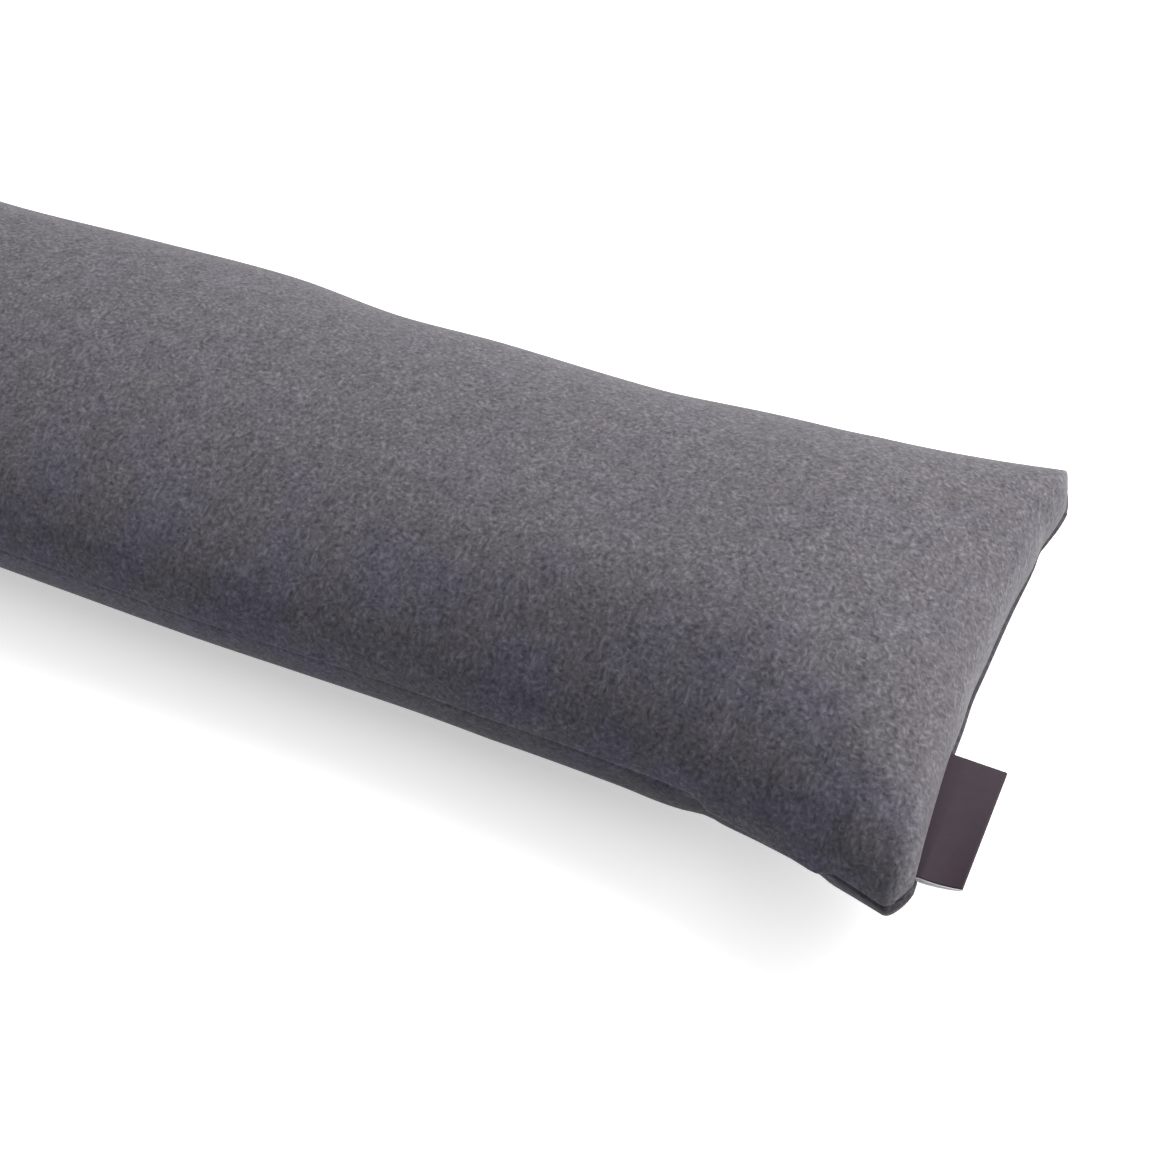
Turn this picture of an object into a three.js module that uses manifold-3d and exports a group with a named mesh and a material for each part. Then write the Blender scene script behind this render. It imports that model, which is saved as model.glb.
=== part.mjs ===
// A draught excluder: a long cushion that lies along the foot of a door. One piece of thick felted
// cloth is folded lengthwise, sewn along one long side and across both ends, and filled. A short
// ribbon label, folded in half, is caught in one end seam.
// Millimetres, +Z up. The cushion lies along X with the label at +X and the sewn side at -Y.
// The origin is the middle of the flat underside.

import * as THREE from 'three';
import { mergeVertices } from 'three/addons/utils/BufferGeometryUtils.js';
import Module from 'manifold-3d';

// The cover as sewn, laid flat and empty
const FLAT_LENGTH = 900;
const FLAT_WIDTH = 206;

// The cover as filled
const END_TAKE_UP = 4; // length that filling takes from each end
const CROWN = 38.7; // filling above the seam lips
const SEAM_HEIGHT = 37.8; // the seam line above the surface it lies on
const PRESS = 2.5; // how far the underside is pressed flat
const DRAW_IN = 2.48; // how strongly a panel that is lifted pulls its two edges together
const TOP_RUN = 90; // run from an end seam to the full height
const TOP_ROUND = 0.36; // under 1 gives a blunt, well filled end
const UNDER_RUN = 170; // run from an end seam to the full depth of the underside
const UNDER_ROUND = 0.72;
const TOP_FILL = 2.4; // how fully the filling reaches into the corners
const UNDER_FILL = 1;
const ROUND_RUN = 70; // run over which a section turns from a lens to an oval
const LENS_POWER = 1.3;
const OVAL_POWER = 2;
const TOP_POWER = 2; // an even arch above the seam
const UNDER_POWER = 2.4; // a flatter, squarer arch below it

// The ends, where the two panels come together
const END_LIFT = 7.8; // how far the end seams stand higher than the side seam
const LIFT_RUN = 150;
// The corners: run along the cushion, cut across it, and a power that is 1 for a straight cut and
// more for a rounder one
const NEAR_CORNER = { run: 7, cut: 13, power: 2 }; // on the sewn side
const FAR_CORNER = { run: 5.5, cut: 19, power: 1.4 }; // at the fold

// The line of an end seam, seen from above. y: across the cushion; inward: how far the seam is drawn
// in there; ledge: how far the upper edge is set back from the lower.
// The cloth stands out again where the filling ends short of the corner at the fold.
const END_COLUMNS = ['inward', 'ledge'];
const END_LINE = [
  { y: -104, inward: 0, ledge: 1.1 },
  { y: -90, inward: 0.2, ledge: 1.1 },
  { y: -75, inward: 1.6, ledge: 1.1 },
  { y: -60, inward: 2.9, ledge: 1.1 },
  { y: -40, inward: 4.3, ledge: 1.1 },
  { y: -25, inward: 4.7, ledge: 1.1 },
  { y: -13, inward: 5.4, ledge: 1.1 },
  { y: 2, inward: 5.1, ledge: 1.1 },
  { y: 30, inward: 4.5, ledge: 1.1 },
  { y: 56, inward: 3.4, ledge: 0.4 },
  { y: 64.5, inward: 3.6, ledge: 0.2 },
  { y: 70, inward: 2.5, ledge: 0.4 },
  { y: 80, inward: 0.6, ledge: 0.9 },
  { y: 89, inward: -0.2, ledge: 1.1 },
  { y: 97, inward: -0.5, ledge: 1 },
  { y: 104, inward: -0.5, ledge: 0 },
];

// The seam: two rolled cloth edges, one on the other, with a groove between them
const LIP = 3; // thickness of each rolled edge
const GROOVE_DEPTH = 1.6;
const GROOVE_REACH = 1; // half the width of the groove's mouth
const LEDGE_RUN = 80; // the ledge between the two edges fades over this run along the sewn side
const LEDGE_DEPTH = 25; // and over this into the panel

// How unevenly the filling lies, as differences from the even form.
// at: along the cushion from the label end; crown and seam: height; near and far: half width.
const LUMP_COLUMNS = ['crown', 'seam', 'near', 'far'];
const LUMPS = [
  { at: 0, crown: 0.1, seam: 0, near: 1.5, far: 3 },
  { at: 40, crown: -0.3, seam: -0.3, near: -1.5, far: 1.9 },
  { at: 70, crown: -0.4, seam: 0.3, near: -2.5, far: 1 },
  { at: 110, crown: -0.2, seam: 0.4, near: -2, far: 2.2 },
  { at: 150, crown: 0.2, seam: 0.3, near: -2, far: 0.2 },
  { at: 180, crown: 0.2, seam: -0.2, near: -2, far: 0.6 },
  { at: 222, crown: 0.1, seam: -0.5, near: -0.6, far: 1.4 },
  { at: 265, crown: 0.3, seam: -0.8, near: 0.9, far: -0.3 },
  { at: 315, crown: 0.4, seam: 0.5, near: 2.1, far: 2.7 },
  { at: 380, crown: 0.2, seam: 0.5, near: 2.4, far: -0.1 },
  { at: 450, crown: -0.1, seam: -0.3, near: 0.6, far: -3.3 },
  { at: 515, crown: 0.2, seam: -0.2, near: -0.4, far: -1.2 },
  { at: 575, crown: -0.3, seam: 0.3, near: 1, far: 0.4 },
  { at: 640, crown: 0.2, seam: -0.4, near: 0.4, far: -1.6 },
  { at: 700, crown: -0.2, seam: 0.2, near: -1.2, far: 0.6 },
  { at: 750, crown: 0.2, seam: -0.3, near: -1.6, far: 0.2 },
  { at: 790, crown: 0.1, seam: 0, near: -1.4, far: 1.4 },
  { at: 845, crown: -0.2, seam: 0.2, near: -0.8, far: 1.6 },
  { at: 892, crown: 0.1, seam: 0, near: 1.3, far: 2.2 },
];
// The half width differs only towards the sides, so the foot it lies on has straight edges.
// Both are shares of the way from the middle line to a side.
const EVEN_SHARE = 0.45; // up to here it is even
const UNEVEN_SHARE = 0.85; // from here on it differs in full

// The ribbon label
const LABEL_LENGTH = 50; // along the seam
const LABEL_MIDDLE = -62.3; // its place along the end seam, in Y
const LABEL_REACH = 12.5; // beyond the ears of the cushion
const LABEL_ROOT = 9; // held inside the seam
const LABEL_LAYER = 1;
const LABEL_GAP = 0.4; // between its two layers
const LABEL_CURL = 2.5; // how far its free edge lifts, at the cushion's corner
const LABEL_STEPS = 10;
const FOLD_STEPS = 4;
const CLEARANCE = 0.3;

// How finely the cloth is faceted
const END_STEPS = 14; // from an end seam to the full height
const END_SPACING = 2.8; // over 1 gathers the steps at the seam
const MIDDLE_STEPS = 35;
const SIDE_STEPS = 26; // across one panel, from the sewn side to the fold
const SIDE_SPACING = 1.6;
const WELD = 1e-4; // points closer than this are one

const LENGTH = FLAT_LENGTH - 2 * END_TAKE_UP;
const { clamp, smoothstep } = THREE.MathUtils;

const lumps = new THREE.CubicInterpolant(
  LUMPS.map((row) => row.at),
  LUMPS.flatMap((row) => LUMP_COLUMNS.map((column) => row[column])),
  LUMP_COLUMNS.length,
);
const endLine = new THREE.CubicInterpolant(
  END_LINE.map((row) => row.y),
  END_LINE.flatMap((row) => END_COLUMNS.map((column) => row[column])),
  END_COLUMNS.length,
);

// A run that falls evenly from 1 at the end seam to 0
function fade(fromEnd, run) {
  return Math.max(0, 1 - fromEnd / run);
}

// How far a panel has risen to its full height: a blunt curve that starts at the end seam
function swell(fromEnd, run, round) {
  return Math.sin((Math.PI / 2) * Math.min(fromEnd / run, 1)) ** round;
}

// The height where a rise from the end and a rise from the side meet: the lower of the two leads,
// and a greater fill keeps the corner between them fuller
function meet(fromEnd, fromSide, fill) {
  return (fromEnd ** -fill + fromSide ** -fill - 1) ** (-1 / fill);
}

// What a corner takes off the half width, this far from the end
function cornerCut(fromEnd, { run, cut, power }) {
  return cut * fade(fromEnd, run) ** power;
}

// How far an end seam is drawn in, and the ledge along it, at this place across the cushion
function endLineAt(y) {
  return endLine.evaluate(clamp(y, END_LINE[0].y, END_LINE.at(-1).y));
}

// The sizes of the cross-section at this distance along the cushion
function sectionAt(along) {
  const fromEnd = Math.min(along, LENGTH - along);
  const [crownLump, seamLump, nearLump, farLump] = lumps.evaluate(along);
  const topRise = swell(fromEnd, TOP_RUN, TOP_ROUND);
  const underRise = swell(fromEnd, UNDER_RUN, UNDER_ROUND);
  const evenSeam = SEAM_HEIGHT + END_LIFT * fade(fromEnd, LIFT_RUN);
  const evenBelly = evenSeam + PRESS - LIP;
  const lifted = Math.min(fromEnd, LIP) + (CROWN * topRise + evenBelly * underRise) / 2;
  return {
    fromEnd,
    topRise,
    underRise,
    seam: evenSeam + seamLump,
    crown: CROWN + crownLump,
    belly: evenBelly + seamLump,
    half: FLAT_WIDTH / 2 - (DRAW_IN * lifted ** 2) / FLAT_WIDTH,
    near: { lump: nearLump, cut: cornerCut(fromEnd, NEAR_CORNER) },
    far: { lump: farLump, cut: cornerCut(fromEnd, FAR_CORNER) },
    power: LENS_POWER + (OVAL_POWER - LENS_POWER) * Math.min(fromEnd / ROUND_RUN, 1),
  };
}

// One point of the cloth. across runs from -1 at the sewn side to 1 at the fold, and side is 1 for
// the upper panel and -1 for the lower. Height is the seam, the rolled lip and an arch over it.
function clothPoint(along, across, side) {
  const section = sectionAt(along);
  const { lump, cut } = across < 0 ? section.near : section.far;
  const uneven = smoothstep(Math.abs(across), EVEN_SHARE, UNEVEN_SHARE);
  const half = section.half + lump * uneven - cut;
  const fromSide = half * (1 - Math.abs(across));
  const fromEdge = Math.min(fromSide, section.fromEnd, LIP);
  const lip = Math.sqrt(LIP ** 2 - (LIP - fromEdge) ** 2);
  const bend = side > 0 ? TOP_POWER : UNDER_POWER;
  const arch = (1 - Math.abs(across) ** bend) ** (1 / section.power);
  const top = section.crown * meet(section.topRise, arch, TOP_FILL);
  const under = section.belly * meet(section.underRise, arch, UNDER_FILL);
  const rise = lip + (side > 0 ? top : under);
  const y = half * across;
  const groove = GROOVE_DEPTH * fade(rise, GROOVE_REACH) ** 2;
  const [inward, ledge] = endLineAt(y);
  const dip = inward * fade(section.fromEnd, TOP_RUN);
  const setBack = ledge * (side > 0 ? 1 : fade(rise, GROOVE_REACH));
  const ledgeAtEnd = setBack * fade(section.fromEnd, LEDGE_DEPTH);
  const ledgeAtSide = setBack * fade(section.fromEnd, LEDGE_RUN) * fade(fromSide, LEDGE_DEPTH);
  const atEnd = ledgeAtEnd + (section.fromEnd < LIP ? groove : 0);
  const atSewnSide = across < 0 ? ledgeAtSide + (fromSide < LIP ? groove : 0) : 0;
  const facing = along < LENGTH / 2 ? 1 : -1;
  return [
    LENGTH / 2 - along - facing * (dip + atEnd),
    y + atSewnSide,
    Math.max(0, section.seam + side * rise),
  ];
}

// The places along the cushion where it is cut into facets, close together at the end seams
function stations() {
  const end = [];
  for (let i = 0; i < END_STEPS; i++) end.push(TOP_RUN * (i / END_STEPS) ** END_SPACING);
  const step = (LENGTH - 2 * TOP_RUN) / MIDDLE_STEPS;
  const middle = [];
  for (let i = 0; i <= MIDDLE_STEPS; i++) middle.push(TOP_RUN + step * i);
  return [...end, ...middle, ...end.map((along) => LENGTH - along).reverse()];
}

// The places across a panel, close together at the sewn side
function crossings() {
  const across = [];
  for (let i = 0; i <= SIDE_STEPS; i++) {
    across.push(-Math.cos(Math.PI * (i / SIDE_STEPS) ** SIDE_SPACING));
  }
  return across;
}

// The filled cover: an upper and a lower panel that share their edges
function casingGeometry() {
  const rows = stations();
  const columns = crossings();
  const positions = [];
  const index = [];
  for (const side of [1, -1]) {
    const first = positions.length / 3;
    for (const along of rows) {
      for (const across of columns) positions.push(...clothPoint(along, across, side));
    }
    for (let i = 0; i + 1 < rows.length; i++) {
      for (let j = 0; j + 1 < columns.length; j++) {
        const a = first + i * columns.length + j;
        const b = a + columns.length;
        const [c, d] = side > 0 ? [a + 1, b] : [b, a + 1];
        index.push(a, c, d, b + 1, d, c);
      }
    }
  }
  const geometry = new THREE.BufferGeometry();
  geometry.setAttribute('position', new THREE.Float32BufferAttribute(positions, 3));
  geometry.setIndex(index);
  return geometry;
}

// The label's section is one strip: out along the top, round the fold and back underneath
function labelGeometry(seam) {
  const outer = LABEL_LAYER + LABEL_GAP / 2;
  const inner = LABEL_GAP / 2;
  const root = LENGTH / 2 - LABEL_ROOT;
  const fold = LENGTH / 2 + LABEL_REACH - outer;
  const section = new THREE.Shape();
  section.moveTo(root, outer);
  section.lineTo(LENGTH / 2, outer);
  section.lineTo(fold, outer);
  section.absarc(fold, 0, outer, Math.PI / 2, -Math.PI / 2, true);
  section.lineTo(LENGTH / 2, -outer);
  section.lineTo(root, -outer);
  section.lineTo(root, -inner);
  section.lineTo(LENGTH / 2, -inner);
  section.lineTo(fold, -inner);
  section.absarc(fold, 0, inner, -Math.PI / 2, Math.PI / 2, false);
  section.lineTo(LENGTH / 2, inner);
  section.lineTo(root, inner);
  section.closePath();
  const strip = new THREE.ExtrudeGeometry(section, {
    depth: LABEL_LENGTH,
    steps: LABEL_STEPS,
    curveSegments: FOLD_STEPS,
    bevelEnabled: false,
  });
  strip.rotateX(Math.PI / 2);
  strip.translate(0, LABEL_MIDDLE + LABEL_LENGTH / 2, seam);
  return curl(strip);
}

// Outside the seam the label curls up a little, more towards the cushion's corner
function curl(strip) {
  const place = strip.getAttribute('position');
  for (let i = 0; i < place.count; i++) {
    const out = clamp((place.getX(i) - LENGTH / 2) / LABEL_REACH, 0, 1);
    const toCorner = (LABEL_MIDDLE + LABEL_LENGTH / 2 - place.getY(i)) / LABEL_LENGTH;
    place.setZ(i, place.getZ(i) + LABEL_CURL * toCorner * out ** 2);
  }
  return strip;
}

// The pocket that the label's root fills in the end seam
function pocketGeometry(seam) {
  const length = LABEL_ROOT + LABEL_REACH + CLEARANCE;
  const width = LABEL_LENGTH + 2 * CLEARANCE;
  const height = 2 * LABEL_LAYER + LABEL_GAP + 2 * CLEARANCE;
  const pocket = new THREE.BoxGeometry(length, width, height);
  return pocket.translate(LENGTH / 2 - LABEL_ROOT - CLEARANCE + length / 2, LABEL_MIDDLE, seam);
}

const wasm = await Module();
wasm.setup();

function toSolid(geometry) {
  const bare = geometry.clone();
  bare.deleteAttribute('normal');
  bare.deleteAttribute('uv');
  const merged = mergeVertices(bare, WELD);
  return new wasm.Manifold(new wasm.Mesh({
    numProp: 3,
    vertProperties: new Float32Array(merged.getAttribute('position').array),
    triVerts: new Uint32Array(merged.index.array),
  }));
}

function toGeometry(solid) {
  const { vertProperties, triVerts } = solid.getMesh();
  const geometry = new THREE.BufferGeometry();
  geometry.setAttribute('position', new THREE.BufferAttribute(vertProperties, 3));
  geometry.setIndex(new THREE.BufferAttribute(triVerts, 1));
  geometry.computeVertexNormals();
  return geometry;
}

const felt = new THREE.MeshStandardMaterial({ color: 0x6a686f, roughness: 0.95, metalness: 0 });
const ribbon = new THREE.MeshStandardMaterial({ color: 0x463f49, roughness: 0.6, metalness: 0 });

const endSeam = sectionAt(0).seam;
const filled = toSolid(casingGeometry()).subtract(toSolid(pocketGeometry(endSeam)));
const casing = new THREE.Mesh(toGeometry(filled), felt);
casing.name = 'casing';

const label = new THREE.Mesh(labelGeometry(endSeam), ribbon);
label.name = 'label';

const draughtExcluder = new THREE.Group();
draughtExcluder.add(casing, label);

export default draughtExcluder;
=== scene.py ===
# %% [markdown]
# # A draught excluder in grey felted cloth
#
# The object is a long cushion that lies along the foot of a door. One piece of thick felted cloth
# is folded lengthwise, sewn along one long side and across both ends, and filled with loose fibre.
# A short ribbon label, folded in half, is caught in one end seam.
#
# The imported model is loaded first and stays fixed. It gives the place and size of everything, so
# the finer pieces made here only have to follow the same sizes.

# %% Load the frame
import math

import bpy
import numpy as np
from mathutils import Matrix


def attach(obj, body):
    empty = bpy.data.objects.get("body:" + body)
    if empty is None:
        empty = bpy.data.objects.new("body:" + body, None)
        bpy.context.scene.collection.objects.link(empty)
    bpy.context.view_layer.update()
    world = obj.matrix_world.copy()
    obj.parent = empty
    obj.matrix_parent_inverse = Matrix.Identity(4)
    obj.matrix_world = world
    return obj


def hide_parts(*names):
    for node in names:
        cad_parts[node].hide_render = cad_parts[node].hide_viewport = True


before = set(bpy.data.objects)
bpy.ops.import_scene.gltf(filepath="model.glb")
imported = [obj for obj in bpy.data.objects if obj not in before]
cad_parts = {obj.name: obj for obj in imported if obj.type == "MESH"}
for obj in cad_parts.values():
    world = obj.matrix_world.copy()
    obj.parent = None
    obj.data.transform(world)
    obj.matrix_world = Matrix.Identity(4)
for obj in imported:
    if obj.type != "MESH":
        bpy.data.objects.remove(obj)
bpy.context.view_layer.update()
MM = 0.001

# %% [markdown]
# ## The cushion as a formula
#
# A filled cover is two panels that share their edges. It could be modelled by pushing a box about,
# but a formula is easier to keep true to the cloth. Felt hardly stretches, so where the filling
# lifts a panel its two edges have to come closer together. That one fact gives the full crown in
# the middle, the narrow waist and the wide, flat ears at the ends.
#
# The sizes are the ones that the solid was built from, but the groove and the ledge along the sewn
# side are finer here. END_LINE follows an end seam across the cushion. LUMPS says how unevenly the
# filling lies, with a row for each place along the cushion that swells or hollows.

# %% The sizes of the cushion
LENGTH = 892 * MM
FLAT_WIDTH = 206 * MM
CROWN = 38.7 * MM
SEAM_HEIGHT = 37.8 * MM
PRESS = 2.5 * MM
DRAW_IN = 2.48
TOP_RUN, TOP_ROUND, TOP_FILL = 90 * MM, 0.36, 2.4
UNDER_RUN, UNDER_ROUND, UNDER_FILL = 170 * MM, 0.72, 1.0
ROUND_RUN = 70 * MM
LENS_POWER, OVAL_POWER = 1.3, 2
TOP_POWER, UNDER_POWER = 2, 2.4
END_LIFT, LIFT_RUN = 7.8 * MM, 150 * MM
NEAR_CORNER = 7 * MM, 13 * MM, 2
FAR_CORNER = 5.5 * MM, 19 * MM, 1.4
LIP = 3 * MM
GROOVE_REACH, END_GROOVE, SIDE_GROOVE = 1 * MM, 1.6 * MM, 0.3 * MM
LEDGE_RUN, LEDGE_DEPTH = 32 * MM, 25 * MM

END_LINE = np.array([
    # across the cushion, drawn in, ledge
    (-104, 0, 1.1),
    (-90, 0.2, 1.1),
    (-75, 1.6, 1.1),
    (-60, 2.9, 1.1),
    (-40, 4.3, 1.1),
    (-25, 4.7, 1.1),
    (-13, 5.4, 1.1),
    (2, 5.1, 1.1),
    (30, 4.5, 1.1),
    (56, 3.4, 0.4),
    (64.5, 3.6, 0.2),
    (70, 2.5, 0.4),
    (80, 0.6, 0.9),
    (89, -0.2, 1.1),
    (97, -0.5, 1),
    (104, -0.5, 0),
]) * MM

LUMPS = np.array([
    # at, crown, seam, near, far
    (0, 0.1, 0, 1.5, 3),
    (40, -0.3, -0.3, -1.5, 1.9),
    (70, -0.4, 0.3, -2.5, 1),
    (110, -0.2, 0.4, -2, 2.2),
    (150, 0.2, 0.3, -2, 0.2),
    (180, 0.2, -0.2, -2, 0.6),
    (222, 0.1, -0.5, -0.6, 1.4),
    (265, 0.3, -0.8, 0.9, -0.3),
    (315, 0.4, 0.5, 2.1, 2.7),
    (380, 0.2, 0.5, 2.4, -0.1),
    (450, -0.1, -0.3, 0.6, -3.3),
    (515, 0.2, -0.2, -0.4, -1.2),
    (575, -0.3, 0.3, 1, 0.4),
    (640, 0.2, -0.4, 0.4, -1.6),
    (700, -0.2, 0.2, -1.2, 0.6),
    (750, 0.2, -0.3, -1.6, 0.2),
    (790, 0.1, 0, -1.4, 1.4),
    (845, -0.2, 0.2, -0.8, 1.6),
    (892, 0.1, 0, 1.3, 2.2),
]) * MM
EVEN_SHARE, UNEVEN_SHARE = 0.45, 0.85

# %% The ribbon label's sizes, which also open the seam where it is caught
LABEL_LENGTH = 50 * MM
LABEL_MIDDLE = -62.3 * MM
LABEL_REACH = 12.5 * MM
LABEL_OPENING, LABEL_MOUTH = 9 * MM, 2.4 * MM


# %% A smooth curve through the rows of a table
def through_rows(at, rows, x):
    """A cubic through the rows at positions at. The slope at a row is the mean of the slopes of the
    stretches on its two sides, and each stretch is the usual blend of two values and two slopes."""
    step = np.diff(at)[:, None]
    slope = np.diff(rows, axis=0) / step
    slopes = np.vstack([slope[:1], (slope[1:] + slope[:-1]) / 2, slope[-1:]])
    i = np.clip(np.searchsorted(at, x, side="right") - 1, 0, len(at) - 2)
    p = (x - at[i])[:, None] / step[i]
    value = (2 * p**3 - 3 * p**2 + 1) * rows[i] + (3 * p**2 - 2 * p**3) * rows[i + 1]
    return value + step[i] * ((p**3 - 2 * p**2 + p) * slopes[i] + (p**3 - p**2) * slopes[i + 1])


def fade(distance, run):
    """A run that falls evenly from 1 to 0."""
    return np.clip(1 - distance / run, 0, None)


def ease(x, start, stop):
    """A smooth step from 0 at start to 1 at stop."""
    way = np.clip((x - start) / (stop - start), 0, 1)
    return way**2 * (3 - 2 * way)


def swell(from_end, run, roundness):
    """A blunt rise: a quarter sine wave over the run, raised to a power under 1."""
    return np.sin(np.pi / 2 * np.minimum(from_end / run, 1)) ** roundness


def meet(from_end, from_side, fill):
    """Where a rise from the end and a rise from the side meet, the lower of the two leads: each is
    raised to a negative power, they are added less 1, and the power is undone."""
    least = 1e-6
    ends, sides = np.maximum(from_end, least), np.maximum(from_side, least)
    return (ends**-fill + sides**-fill - 1) ** (-1 / fill)


# %% The corners and the line of an end seam
def corner_cut(from_end, run, cut, power):
    """What a corner takes off the half width: its cut times a power of the way to the end. A power
    near 1 leaves the corner sharp and a larger one rounds it."""
    return cut * fade(from_end, run) ** power


def end_line(y):
    """How far an end seam is drawn in at each place across the cushion, and the ledge where the
    upper edge is set back from the lower, both read from END_LINE."""
    inside = np.clip(y, END_LINE[0, 0], END_LINE[-1, 0])
    both = through_rows(END_LINE[:, 0], END_LINE[:, 1:], inside.ravel())
    return both[:, 0].reshape(y.shape), both[:, 1].reshape(y.shape)


# %% The sizes of every cross-section
def sections(along):
    """For each place along the cushion: its distance from the end, the two rises, seam height, crown,
    belly, half width, its two lumps and the roundness. The half width is half the flat width, less a
    constant times the square of the panel's lift over the flat width."""
    from_end = np.minimum(along, LENGTH - along)
    crown_lump, seam_lump, near_lump, far_lump = through_rows(LUMPS[:, 0], LUMPS[:, 1:], along).T
    top_rise = swell(from_end, TOP_RUN, TOP_ROUND)
    under_rise = swell(from_end, UNDER_RUN, UNDER_ROUND)
    seam = SEAM_HEIGHT + END_LIFT * fade(from_end, LIFT_RUN)
    belly = seam + PRESS - LIP
    lifted = np.minimum(from_end, LIP) + (CROWN * top_rise + belly * under_rise) / 2
    half = FLAT_WIDTH / 2 - DRAW_IN * lifted**2 / FLAT_WIDTH
    power = LENS_POWER + (OVAL_POWER - LENS_POWER) * np.minimum(from_end / ROUND_RUN, 1)
    sizes = (from_end, top_rise, under_rise, seam + seam_lump, CROWN + crown_lump, belly + seam_lump,
             half, near_lump, far_lump, power)
    return [size[:, None] for size in sizes]


# %% [markdown]
# ## What sewing and filling leave behind
#
# A few small things show that the cushion was sewn and stuffed. Close to the labelled end the thread
# pulls the sewn side in, with a soft bulge beside it. From there to just short of the corner the
# upper edge hangs over the lower one, and the fibre is packed a little higher over that side. All
# this could be sculpted with a brush, but a brush stroke is hard to measure or repeat. A bell curve
# or a soft step has a place, a width and a height that can be changed one at a time.

# %% The pucker and the tuck on the sewn side
PUCKER_AT, PUCKER_RUN, PUCKER_DEPTH = 72 * MM, 5 * MM, 1.4 * MM
BULGE_AT, BULGE_RUN, BULGE_DEPTH = 88 * MM, 9 * MM, 0.6 * MM
PUCKER_REACH = 14 * MM
TUCK_FROM, TUCK_TO, TUCK_SOFT = 27 * MM, 71 * MM, 3.5 * MM
TUCK_DEPTH, TUCK_OUT, TUCK_DROP = 4.5 * MM, 1.5 * MM, 2.9 * MM
TUCK_REACH = 22 * MM


def tuck(along):
    """Where the lower edge is tucked in under the upper: 1 between two places and 0 beyond them, with
    a soft step at each."""
    start = ease(along, TUCK_FROM - TUCK_SOFT, TUCK_FROM + TUCK_SOFT)
    return start * (1 - ease(along, TUCK_TO - TUCK_SOFT, TUCK_TO + TUCK_SOFT))


def pucker(along, from_side, rise):
    """How far the lower panel is pulled in at the sewn side: one bell curve along the seam for the
    pinch, less a wider one for the bulge beside it, plus the tuck, all dying out away from the seam."""
    pinch = PUCKER_DEPTH * np.exp(-(((along - PUCKER_AT) / PUCKER_RUN) ** 2))
    bulge = BULGE_DEPTH * np.exp(-(((along - BULGE_AT) / BULGE_RUN) ** 2))
    pulled = pinch - bulge + TUCK_DEPTH * tuck(along)
    return pulled * np.exp(-((from_side / PUCKER_REACH) ** 2)) * np.minimum(rise / LIP, 1)


# %% The shoulder over the sewn side
SHOULDER_AT, SHOULDER_RUN = 115 * MM, 80 * MM
SHOULDER_ACROSS, SHOULDER_WIDTH = -0.5, 0.32
SHOULDER_RISE = 4 * MM


def shoulder(along, across):
    """How much higher the filling is packed over the sewn side, near the label: one bell curve along
    the cushion times one across it."""
    length = np.exp(-(((along - SHOULDER_AT) / SHOULDER_RUN) ** 2))
    return SHOULDER_RISE * length * np.exp(-(((across - SHOULDER_ACROSS) / SHOULDER_WIDTH) ** 2))


# %% [markdown]
# ## The two panels
#
# Everything comes together in one function that is used twice, for the upper panel and the lower.
# The edges carry most of what the eye knows as sewn cloth: a rounded lip beside the seam, a fine
# groove between the two lips, and a ledge near the ends where the lower edge looks out from under
# the upper one. Where the label is caught, the groove opens.

# %% How the seams move the edges in
def moved_in(along, y, from_end, from_side, rise, side):
    """How far each point moves in from its end, and from the sewn side. The end seam's own line fades
    over the run of the crown and the ledge over its own depth. The groove is a square that is gone a
    little way from the seam, and it is deeper where the label is caught."""
    drawn_in, ledge = end_line(y)
    ledge = ledge * (1 if side > 0 else fade(rise, GROOVE_REACH))
    mouth = fade(rise, GROOVE_REACH) ** 2
    labelled = (along < LENGTH / 2) & (np.abs(y - LABEL_MIDDLE) < LABEL_LENGTH / 2)
    opening = LABEL_OPENING * fade(rise, LABEL_MOUTH) ** 2
    end_groove = np.where(labelled, opening, END_GROOVE * mouth)
    end_in = drawn_in * fade(from_end, TOP_RUN) + ledge * fade(from_end, LEDGE_DEPTH)
    end_in = end_in + np.where(from_end < LIP, end_groove, 0)
    side_in = ledge * fade(from_end, LEDGE_RUN) * fade(from_side, LEDGE_DEPTH)
    side_in = side_in + np.where(from_side < LIP, SIDE_GROOVE * mouth, 0)
    if side < 0:
        side_in = side_in + pucker(along, from_side, rise)
    return end_in, side_in


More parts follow.
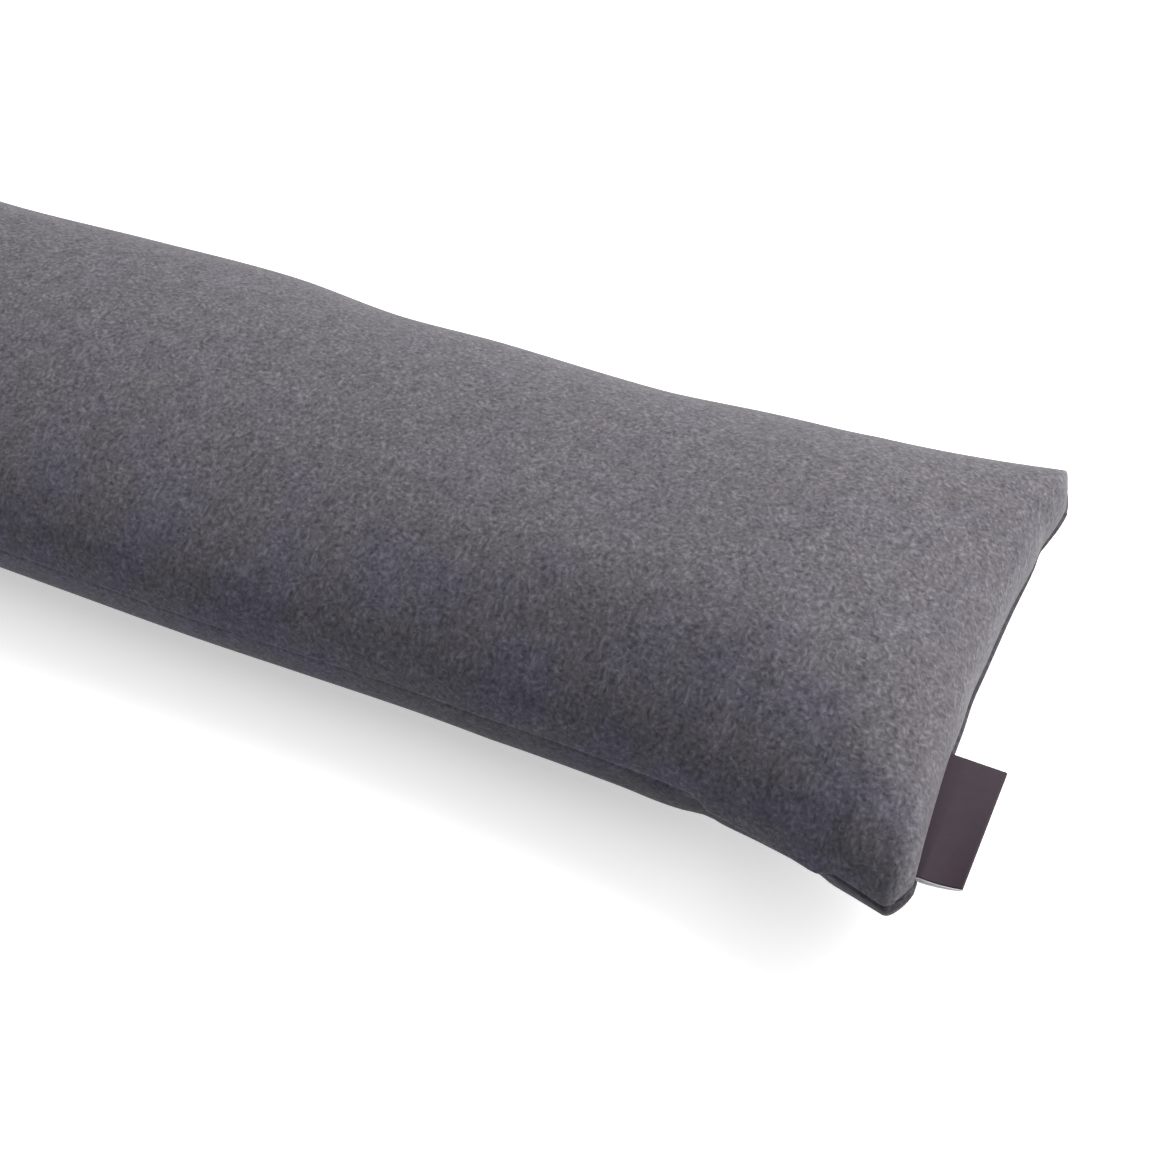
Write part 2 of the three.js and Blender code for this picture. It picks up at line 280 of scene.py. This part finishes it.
# %% One panel of the cushion
def panel(along, across, side):
    """Points of the upper panel (side 1) or the lower (side -1), as rows by columns by three. across
    runs from -1 at the sewn side to 1 at the fold. The height is the seam, plus a quarter-round lip
    at the edge, plus an arch over the width; below zero it is pressed flat on the surface. The seams
    then move the edges in, and the tuck moves the sewn side out and down."""
    (from_end, top_rise, under_rise, seam, crown, belly,
     half, near_lump, far_lump, power) = sections(along)
    along = along[:, None]
    sewn = across < 0
    half = half + np.where(sewn, near_lump, far_lump) * ease(np.abs(across), EVEN_SHARE, UNEVEN_SHARE)
    half = half - np.where(sewn, corner_cut(from_end, *NEAR_CORNER), corner_cut(from_end, *FAR_CORNER))
    from_side = half * (1 - np.abs(across))
    edge = np.minimum(np.minimum(from_side, from_end), LIP)
    lip = np.sqrt(LIP**2 - (LIP - edge) ** 2)
    arch_power = TOP_POWER if side > 0 else UNDER_POWER
    arch = np.clip(1 - np.abs(across) ** arch_power, 0, 1) ** (1 / power)
    if side > 0:
        crown = crown + shoulder(along, across)
        rise = lip + crown * meet(top_rise, arch, TOP_FILL)
    else:
        rise = lip + belly * meet(under_rise, arch, UNDER_FILL)
    y = half * across
    end_in, side_in = moved_in(along, y, from_end, from_side, rise, side)
    tucked = np.where(sewn, tuck(along) * np.exp(-((from_side / TUCK_REACH) ** 2)), 0)
    side_in = side_in - TUCK_OUT * tucked
    seam = seam - TUCK_DROP * tucked
    facing = np.where(along < LENGTH / 2, 1, -1)
    x = LENGTH / 2 - along - facing * end_in
    return np.stack([x, y + np.where(sewn, side_in, 0), np.maximum(0, seam + side * rise)], axis=-1)


# %% [markdown]
# ## From the formula to a closed mesh
#
# Each panel is a grid. The grid is close where the cloth turns sharply, at the seams, and open in
# the middle. The lower panel takes its edge points from the upper one, so the two are sewn
# together and the mesh has no open edge. Points are numbered with whole arrays, and the faces are
# read off from four shifted copies of that numbering.


# %% Grids, faces and meshes
END_GATHER, SIDE_GATHER = 2.6, 1.3


def places(end_steps, middle_steps, side_steps):
    """Places along the cushion, gathered at the ends by a power, and across it by a cosine whose
    angle also follows a power, so that the sewn side gets more of them than the fold."""
    end = TOP_RUN * np.linspace(0, 1, end_steps, endpoint=False) ** END_GATHER
    middle = np.linspace(TOP_RUN, LENGTH - TOP_RUN, middle_steps)
    along = np.concatenate([end, middle, LENGTH - end[::-1]])
    return along, -np.cos(np.pi * np.linspace(0, 1, side_steps) ** SIDE_GATHER)


def sewn_faces(rows, columns):
    """Numbers of the upper and lower panel's points, which share their edges, and all the faces."""
    upper = np.arange(rows * columns).reshape(rows, columns)
    lower = upper.copy()
    inner = (rows - 2) * (columns - 2)
    lower[1:-1, 1:-1] = rows * columns + np.arange(inner).reshape(rows - 2, columns - 2)
    corners = [np.stack([n[:-1, :-1], n[:-1, 1:], n[1:, 1:], n[1:, :-1]], -1) for n in (upper, lower)]
    return np.concatenate([corners[0].reshape(-1, 4), corners[1][..., ::-1].reshape(-1, 4)])


def sewn_points(top, under):
    """The points in that numbering: all of the upper panel, then the inside of the lower."""
    return np.concatenate([top.reshape(-1, 3), under[1:-1, 1:-1].reshape(-1, 3)])


def new_piece(name, points, faces):
    """A smooth-shaded object at the origin with its place in its mesh."""
    mesh = bpy.data.meshes.new(name)
    mesh.from_pydata(points.tolist(), [], faces.tolist())
    mesh.shade_smooth()
    piece = bpy.data.objects.new(name, mesh)
    bpy.context.scene.collection.objects.link(piece)
    return piece


# %% The felt casing
along, across = places(end_steps=60, middle_steps=300, side_steps=105)
top, under = (panel(along, across, side) for side in (1, -1))
casing = new_piece("felt_casing", sewn_points(top, under), sewn_faces(len(along), len(across)))
print("felt casing:", len(casing.data.polygons), "faces")

# %% [markdown]
# ## Painted shade on the felt
#
# The sewn side faces away from the lights, and painted shade makes it darker and cooler. The
# lower panel gets painted shade that darkens it towards the ends. Shade that follows the camera
# would slide as the view changes, so it is stored on the mesh instead: each point gets one number
# from the way its surface faces and one from its place along the lower panel.

# %% Painted shade on the sewn side, and towards the ends of the lower panel
# how far in from the ends the lower panel's painted shade reaches
UNDER_SHADE_RUN = 270 * MM


def point_values(piece, name, values):
    """Stores one number for each point, which a material reads by its name."""
    piece.data.attributes.new(name, "FLOAT", "POINT").data.foreach_set("value", values)


normals = np.empty(3 * len(casing.data.vertices))
casing.data.vertices.foreach_get("normal", normals)
# painted shade: the more a point faces the sewn side, the darker and cooler it is painted
end_on = np.clip(-normals.reshape(-1, 3)[:, 1], 0, 1)
lower_x = under[1:-1, 1:-1, 0].ravel()
# painted shade on the lower panel, strongest at the ends and fading inwards
under_shade_on_lower = fade(LENGTH / 2 - np.abs(lower_x), UNDER_SHADE_RUN)
turned_under = np.concatenate([np.zeros(top[..., 0].size), under_shade_on_lower])
point_values(casing, "end_on", end_on)
point_values(casing, "turned_under", turned_under)
# prints how much painted shade the sewn side gets, on average
print("nap seen end on, on average:", round(end_on.mean(), 2))

# %% [markdown]
# ## Shader arithmetic
#
# A material is a small network of nodes. Wiring nodes one by one hides the idea, so a Wire wraps
# one output and takes part in sums: `1 - mask` or `a * 0.5 + b` adds the Math nodes by itself.


# %% A socket that takes part in Python arithmetic
class Wire:
    """One output of a material's node tree."""

    def __init__(self, tree, socket=None):
        self.tree = tree
        self.socket = socket

    def node(self, kind, settings=None, sockets=None, out=0):
        """Adds a node of any kind: its settings first, then the value or link of each socket."""
        made = self.tree.nodes.new(kind)
        for key, value in (settings or {}).items():
            if key == "stops":
                ramp = made.color_ramp.elements
                while len(ramp) < len(value):
                    ramp.new(1)
                for stop, (place, colour) in zip(ramp, value):
                    stop.position = place
                    stop.color = (*colour, 1)
            else:
                setattr(made, key, value)
        for key, value in (sockets or {}).items():
            if isinstance(value, Wire):
                self.tree.links.new(value.socket, made.inputs[key])
            else:
                made.inputs[key].default_value = value
        return Wire(self.tree, made.outputs[out])

    def math(self, operation, a, b):
        return self.node("ShaderNodeMath", {"operation": operation}, {0: a, 1: b})

    def __add__(self, other):
        return self.math("ADD", self, other)

    def __sub__(self, other):
        return self.math("SUBTRACT", self, other)

    def __rsub__(self, other):
        return self.math("SUBTRACT", other, self)

    def __mul__(self, other):
        return self.math("MULTIPLY", self, other)

    __radd__ = __add__
    __rmul__ = __mul__


# %% Mixing colours, and a new material
def blend(wire, factor, first, second, mode="MIX"):
    """Mixes two colours, which are links or plain (r, g, b)."""
    settings = {"data_type": "RGBA", "blend_type": mode}
    pair = {6: first, 7: second}
    sockets = {k: v if isinstance(v, Wire) else (*v, 1) for k, v in pair.items()}
    return wire.node("ShaderNodeMix", settings, {0: factor, **sockets}, out=2)


def new_material(name, **constants):
    """A material with one Principled shader whose even values are set on its own sockets."""
    material = bpy.data.materials.new(name)
    material.use_nodes = True
    shader = material.node_tree.nodes["Principled BSDF"]
    for key, value in constants.items():
        shader.inputs[key.replace("_", " ")].default_value = value
    return material, shader, Wire(material.node_tree)


# %% [markdown]
# ## Felted mélange cloth
#
# The cloth is wool-like felt spun from dark and pale fibres that were never fully mixed. Close to,
# it is a tangle of short strokes about a millimetre wide. Noise on its own gives round blots, so
# three noises are each drawn out in another direction, and a slower noise picks which one shows.
# The three directions are the axes of a cube that stands on its corner, so on every side of the
# cushion they cross at an angle. Larger, fainter clouds of tint lie over that, and the two numbers
# on the points darken it with painted shade, which on the sewn side also makes the cool clouds
# stronger. The nap scatters light at a grazing angle, which is what the sheen values are for.

# %% The felt's fibres and colours
CUBE_ON_CORNER = (0.955, 0, 0.785)
DRAWN_OUT = [(0.5, 1, 1), (1, 0.5, 1), (1, 1, 0.5)]
STROKES, PICKS, CLOUDS, PATCHES = 720.0, 240.0, 130.0, 45.0  # to a metre
FIRST_PICK, LAST_PICK = (0.42, 0.48), (0.52, 0.58)
FIBRE_SHARE, CLOUD_SHARE = 0.8, 0.2
NAP_BUMP, NAP_DEPTH = 0.4, 0.4 * MM

FELT_GREYS = [(0.28, 0.038), (0.46, 0.072), (0.56, 0.090), (0.74, 0.142)]
FELT_TINT = (1.066, 1.0, 1.105)
COOL_PATCH, PATCH_EDGE = (0.965, 0.955, 1.09), (0.44, 0.62)
# the cool patches grow stronger with the sewn side's painted shade, which paints a cooler shade there
PATCH_ON_TOP, PATCH_IN_SIDE_SHADE = 0.35, 0.9
# painted shade on the sewn side: darker and cooler
PAINTED_SIDE_SHADE = (0.685, 0.70, 0.775)
# painted shade on the lower panel towards its ends
PAINTED_UNDER_SHADE = (0.52, 0.51, 0.53)


# %% The felt
def felt_material():
    """The fibre's grey is four fifths of the stroke that was picked and one fifth of the clouds. The
    cool patches, the painted shade on the sewn side and the painted shade towards the ends of the
    lower panel then multiply it, each by its own share. The patches are faint on top and stronger in
    the sewn side's painted shade, where they paint a cooler shade."""
    material, shader, start = new_material(
        "grey_felt", Roughness=0.95, Specular_IOR_Level=0.15, Sheen_Weight=0.1, Sheen_Roughness=0.5)
    place = start.node("ShaderNodeTexCoord", out="Object")
    turned = start.node("ShaderNodeMapping", {}, {"Vector": place, "Rotation": CUBE_ON_CORNER})

    def noise(vector, scale, detail=1.0):
        sockets = {"Vector": vector, "Scale": scale, "Detail": detail}
        return start.node("ShaderNodeTexNoise", {}, sockets)

    def step(value, edge):
        return start.node("ShaderNodeMapRange", {}, {0: value, 1: edge[0], 2: edge[1]})

    strokes = []
    for stretch in DRAWN_OUT:
        drawn = start.node("ShaderNodeVectorMath", {"operation": "MULTIPLY"}, {0: turned, 1: stretch})
        strokes.append(noise(drawn, STROKES))
    pick = noise(place, PICKS)
    first, last = step(pick, FIRST_PICK), step(pick, LAST_PICK)
    fibre = strokes[0] * (1 - first) + strokes[1] * (first - last) + strokes[2] * last
    tone = fibre * FIBRE_SHARE + noise(place, CLOUDS, detail=2.0) * CLOUD_SHARE

    stops = [(at, tuple(grey * share for share in FELT_TINT)) for at, grey in FELT_GREYS]
    greys = start.node("ShaderNodeValToRGB", {"stops": stops}, {0: tone})
    # the two painted-shade numbers stored on the points
    end_on, turned_under = (
        start.node("ShaderNodeAttribute", {"attribute_name": name}, out="Fac")
        for name in ("end_on", "turned_under"))
    # cool patches, faint on top and stronger in the sewn side's painted shade
    patch = step(noise(place, PATCHES), PATCH_EDGE) * (PATCH_ON_TOP + PATCH_IN_SIDE_SHADE * end_on)
    patched = blend(start, patch, greys, COOL_PATCH, "MULTIPLY")
    # painted shade: the sewn side darker and cooler
    side_shaded = blend(start, end_on, patched, PAINTED_SIDE_SHADE, "MULTIPLY")
    # painted shade: the lower panel darker towards its ends
    colour = blend(start, turned_under, side_shaded, PAINTED_UNDER_SHADE, "MULTIPLY")
    nap = {"Strength": NAP_BUMP, "Distance": NAP_DEPTH, "Height": strokes[0]}
    bump = start.node("ShaderNodeBump", {}, nap)
    material.node_tree.links.new(colour.socket, shader.inputs["Base Color"])
    material.node_tree.links.new(bump.socket, shader.inputs["Normal"])
    return material


felt = felt_material()
print("felt:", len(felt.node_tree.nodes), "nodes")
casing.data.materials.append(felt)
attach(casing, "root")
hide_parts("casing")

# %% [markdown]
# ## The ribbon label
#
# The label is one ribbon folded in half, so it is made as one strip: out along the top, round a
# tight fold and back underneath. Towards the cushion's corner it curls up a little and its two
# layers part. Two flat boxes would be quicker, but they would show no fold. Solidify gives the ribbon
# its thickness, and its inner face takes the second material, because the back of a satin ribbon is
# pale.

# %% The label's path and surface
LABEL_ROOT = 4 * MM
LABEL_CURL = 2.5 * MM
RIBBON = 0.35 * MM
FOLD_RADIUS = 0.35 * MM
ROOT_PARTING = 0.6 * MM


def label_strip(steps_out=40, steps_round=13, steps_along=60):
    """Points of the folded strip. Half its height is the fold's radius, plus a parting that grows
    from the fold to the seam and closes again inside it; the free edge curls up with the square of
    the way out. Both are greatest at the cushion's corner. The root reaches in as deep as the seam."""
    out = np.linspace(-LABEL_ROOT, LABEL_REACH - FOLD_RADIUS, steps_out)
    turn = np.linspace(np.pi / 2, -np.pi / 2, steps_round)[1:-1]
    x = np.concatenate([out, out[-1] + FOLD_RADIUS * np.cos(turn), out[::-1]])
    height = np.concatenate([np.ones(steps_out), np.sin(turn), -np.ones(steps_out)])
    far = np.clip(x / LABEL_REACH, 0, 1)[:, None]
    to_corner = np.linspace(1, 0, steps_along)[None, :]
    held = np.clip(1 + x / LABEL_ROOT, 0, 1)[:, None]
    parting = FOLD_RADIUS + ROOT_PARTING * (1 - far) * held * to_corner
    seam = SEAM_HEIGHT + END_LIFT + LUMPS[0, 2]
    z = seam + height[:, None] * parting + LABEL_CURL * to_corner * far**2
    y = LABEL_MIDDLE + LABEL_LENGTH * (0.5 - to_corner)
    deeper = 1 + end_line(y)[0] / LABEL_ROOT
    x = LENGTH / 2 + x[:, None] * np.where(x[:, None] < 0, deeper, 1)
    return np.stack(np.broadcast_arrays(x, y, z), axis=-1)


strip = label_strip()
numbers = np.arange(strip.shape[0] * strip.shape[1]).reshape(strip.shape[:2])
strip_faces = np.stack([numbers[:-1, :-1], numbers[:-1, 1:], numbers[1:, 1:], numbers[1:, :-1]], -1)
label = new_piece("ribbon_label", strip.reshape(-1, 3), strip_faces.reshape(-1, 4)[:, ::-1])


# %% Satin ribbon, front and back
PLUM, PALE_BACK = (0.025, 0.015, 0.022), (0.78, 0.77, 0.79)
THREAD, THREAD_DEPTH = 0.3 * MM, 0.05 * MM
WARP_SHARE, WEFT_SHARE = 0.3, 0.7
SPECKS = 220.0  # to a metre
DARKER, LIGHTER = 0.8, 1.25


def ribbon_material(name, colour):
    """Two sets of fine bands cross as warp and weft. Half weave and half specks choose between a
    darker and a lighter shade of the ribbon's colour."""
    material, shader, start = new_material(name, Roughness=0.6, Specular_IOR_Level=0.15)
    place = start.node("ShaderNodeTexCoord", out="Object")
    bands = 1 / (2 * math.pi * THREAD)
    thread = {"Vector": place, "Scale": bands, "Distortion": 0.4, "Detail": 1.0}
    along_x, along_y = (
        start.node("ShaderNodeTexWave", {"wave_type": "BANDS", "bands_direction": axis}, thread, out=1)
        for axis in "XY")
    weave = along_x * WARP_SHARE + along_y * WEFT_SHARE
    speck = start.node("ShaderNodeTexNoise", {}, {"Vector": place, "Scale": SPECKS, "Detail": 2.0})
    dark = tuple(c * DARKER for c in colour)
    light = tuple(min(c * LIGHTER, 1) for c in colour)
    shade = blend(start, weave * 0.5 + speck * 0.5, dark, light)
    relief = {"Strength": 0.3, "Distance": THREAD_DEPTH, "Height": weave}
    bump = start.node("ShaderNodeBump", {}, relief)
    material.node_tree.links.new(shade.socket, shader.inputs["Base Color"])
    material.node_tree.links.new(bump.socket, shader.inputs["Normal"])
    return material


label.data.materials.append(ribbon_material("plum_satin", PLUM))
label.data.materials.append(ribbon_material("ribbon_back", PALE_BACK))
thickness = label.modifiers.new("ribbon", "SOLIDIFY")
thickness.thickness = RIBBON
thickness.offset = 0
thickness.material_offset = 1
thickness.material_offset_rim = 1
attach(label, "root")
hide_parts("label")

# %% [markdown]
# ## Floor, light and camera
#
# The cushion lies on a plain white table under soft studio light. Four square panels light it: one
# overhead, one behind, the strongest behind and to the right, and a low one that faces the label.
# So the end with the label is the brightest, and the shadow falls towards the viewer. One strong
# lamp would be simpler, but its shadow would be hard. The table glows a little by itself, as a
# white table does in a room of white walls, and that keeps the shadow pale. The room itself gives
# only a little light, and behind the table it is seen as a pale backdrop.
#
# The camera stands where a pinhole camera fits the cushion's outline and seams in the photograph. It
# is set by two angles, a roll, the point that it aims at and its distance from that point.

# %% The floor
FLOOR_SIZE, FLOOR_GAP = 40.0, 0.3 * MM

floor_points = FLOOR_SIZE / 2 * np.array([(-1, -1, 0), (1, -1, 0), (1, 1, 0), (-1, 1, 0)])
floor = new_piece("floor", floor_points - (0, 0, FLOOR_GAP), np.array([(0, 1, 2, 3)]))
white_table, _, _ = new_material(
    "white_table", Base_Color=(0.75, 0.75, 0.75, 1), Roughness=0.8,
    Emission_Color=(1, 1, 1, 1), Emission_Strength=0.5)
floor.data.materials.append(white_table)
print("floor in metres:", FLOOR_SIZE)


# %% The lights
def soft_panel(name, place, aim, size, power, colour=(1, 1, 1)):
    """A square panel of light, tilted from straight down until it faces the point that it aims at. A
    panel right overhead aims a millimetre aside, so that there is a way for it to turn."""
    light = bpy.data.lights.new(name, "AREA")
    light.shape = "SQUARE"
    light.size = size
    light.energy = power
    light.color = colour
    lamp = bpy.data.objects.new(name, light)
    lamp.location = place
    toward = np.array(aim) - np.array(place)
    tilt = math.acos(-toward[2] / np.linalg.norm(toward))
    lamp.rotation_euler = (tilt, 0, math.atan2(toward[1], toward[0]) - math.pi / 2)
    bpy.context.scene.collection.objects.link(lamp)


IN_VIEW = (0.25, 0, 0)
soft_panel("overhead", (0.25, 0, 1.6), (0.25, 0.001, 0), size=2.0, power=18)
soft_panel("behind", (0.25, 1.7, 0.9), IN_VIEW, size=1.4, power=14.5)
soft_panel("behind_right", (1.0, 0.9, 1.3), IN_VIEW, size=1.2, power=42)
soft_panel("right_end", (1.9, 0, 0.4), IN_VIEW, size=0.8, power=12.5, colour=(1, 0.97, 0.97))
print("light in watts:", sum(light.energy for light in bpy.data.lights))

# %% The room, and the pale backdrop that is seen behind the table
ROOM_LIGHT, BACKDROP = 0.15, 0.65
ROOM_TINT = (0.97, 0.98, 1.03, 1)

world = bpy.data.worlds.new("studio")
world.use_nodes = True
background = world.node_tree.nodes["Background"]
background.inputs["Color"].default_value = ROOM_TINT
seen = Wire(world.node_tree).node("ShaderNodeLightPath", out="Is Camera Ray")
strength = ROOM_LIGHT + (BACKDROP - ROOM_LIGHT) * seen
world.node_tree.links.new(strength.socket, background.inputs["Strength"])
bpy.context.scene.world = world
bpy.context.scene.view_settings.view_transform = "Standard"
print("room light:", ROOM_LIGHT, "backdrop:", BACKDROP)

# %% The camera, at the photograph's angle
AZIMUTH, ELEVATION, ROLL = (math.radians(v) for v in (25.17, 45.95, -0.12))
AIM = np.array([301.9, -13.8, 40.0]) * MM
DISTANCE = 617.5 * MM
FOCAL_SHARE = 1768 / 1170  # the focal length over the picture's width
NEAREST = 10 * MM

flat = math.cos(ELEVATION)
back = np.array([math.sin(AZIMUTH) * flat, -math.cos(AZIMUTH) * flat, math.sin(ELEVATION)])
level = np.array([math.cos(AZIMUTH), math.sin(AZIMUTH), 0])
upright = np.cross(back, level)
right = math.cos(ROLL) * level + math.sin(ROLL) * upright
up = np.cross(back, right)
camera_data = bpy.data.cameras.new("camera")
camera_data.lens = FOCAL_SHARE * camera_data.sensor_width
camera_data.clip_start = NEAREST
camera = bpy.data.objects.new("camera", camera_data)
pose = np.eye(4)
pose[:3, :3] = np.stack([right, up, back], axis=1)
pose[:3, 3] = AIM + DISTANCE * back
camera.matrix_world = Matrix(pose.tolist())
bpy.context.scene.collection.objects.link(camera)
bpy.context.scene.camera = camera
print("camera in mm:", np.round(pose[:3, 3] / MM, 1).tolist())
